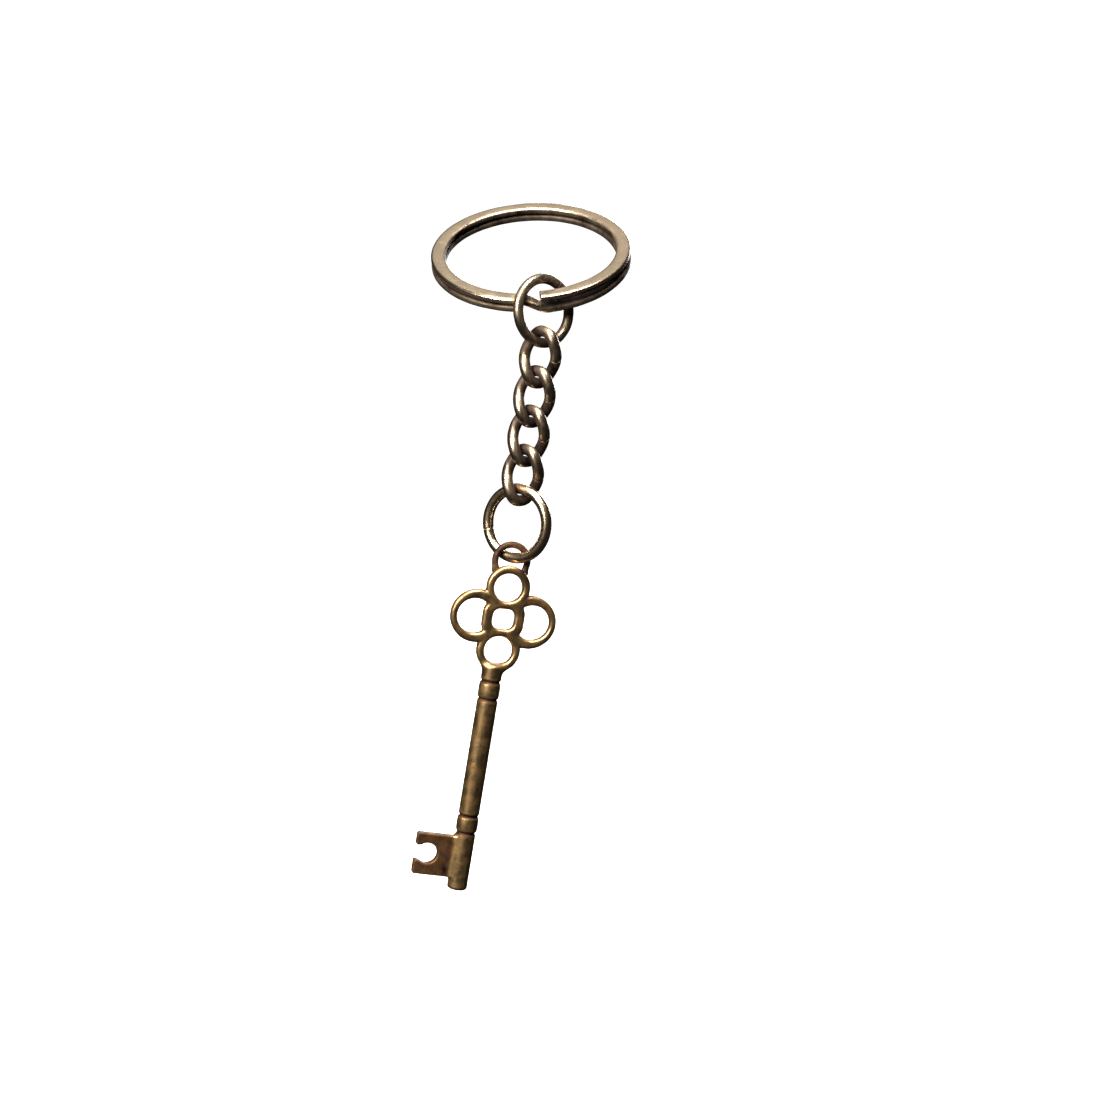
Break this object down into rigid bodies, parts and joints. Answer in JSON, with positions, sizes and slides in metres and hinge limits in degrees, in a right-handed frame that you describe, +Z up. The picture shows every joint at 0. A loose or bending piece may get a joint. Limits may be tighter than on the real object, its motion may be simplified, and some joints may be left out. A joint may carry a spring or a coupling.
{
  "type": "keychain",
  "caption": "Split key ring with a short curb chain and a skeleton-key charm hanging from it, all in aged bronze-coloured metal.",
  "frame": {"origin": "middle of the split ring", "axes": "+Z up along the hanging chain, +X to the right, -Y out of the flat front of the key"},
  "size_m": [0.0299, 0.0299, 0.1025],
  "materials": {
    "ring_bronze": "antique plated spring steel, polished on the faces, dark in the gap between the turns",
    "chain_bronze": "antique bronze plate, worn bright on the outer curves and dark where links meet",
    "copper_bronze": "coppery antique plate, polished",
    "key_bronze": "cast, antique bronze plate, satin, dark in the grooves"
  },
  "bodies": {
    "split_ring": {"split_ring": "ring_bronze"},
    "connector_link": {"connector_link": "chain_bronze"},
    "curb_link_1": {"curb_link_1": "chain_bronze"},
    "curb_link_2": {"curb_link_2": "chain_bronze"},
    "curb_link_3": {"curb_link_3": "chain_bronze"},
    "curb_link_4": {"curb_link_4": "chain_bronze"},
    "jump_ring": {"jump_ring": "copper_bronze"},
    "key": {"skeleton_key": "key_bronze", "hanging_loop": "key_bronze"}
  },
  "joints": [
    {"name": "connector_swing", "type": "hinge", "parent": "split_ring", "child": "connector_link", "pos_m": [0.00373, -0.01219, -0.0057], "axis": [0.9611, -0.0704, 0.2669], "range_deg": [-130, 45]},
    {"name": "link_1_swing", "type": "hinge", "parent": "connector_link", "child": "curb_link_1", "pos_m": [0.00373, -0.01252, -0.01167], "axis": [0.7771, 0.6293, 0], "range_deg": [-70, 70]},
    {"name": "link_2_swing", "type": "hinge", "parent": "curb_link_1", "child": "curb_link_2", "pos_m": [0.00373, -0.01252, -0.01582], "axis": [0.7431, -0.6691, 0], "range_deg": [-40, 40]},
    {"name": "link_3_swing", "type": "hinge", "parent": "curb_link_2", "child": "curb_link_3", "pos_m": [0.00373, -0.01252, -0.02348], "axis": [-0.7431, -0.6691, 0], "range_deg": [-40, 40]},
    {"name": "link_4_swing", "type": "hinge", "parent": "curb_link_3", "child": "curb_link_4", "pos_m": [0.00373, -0.01252, -0.02754], "axis": [-0.7431, 0.6691, 0], "range_deg": [-40, 40]},
    {"name": "jump_ring_swing", "type": "hinge", "parent": "curb_link_4", "child": "jump_ring", "pos_m": [0.00392, -0.01252, -0.03345], "axis": [0.848, -0.5299, 0], "range_deg": [-90, 65]},
    {"name": "key_swing", "type": "hinge", "parent": "jump_ring", "child": "key", "pos_m": [0.00392, -0.01252, -0.04353], "axis": [-0.788, 0.6157, 0], "range_deg": [-110, 110]}
  ]
}
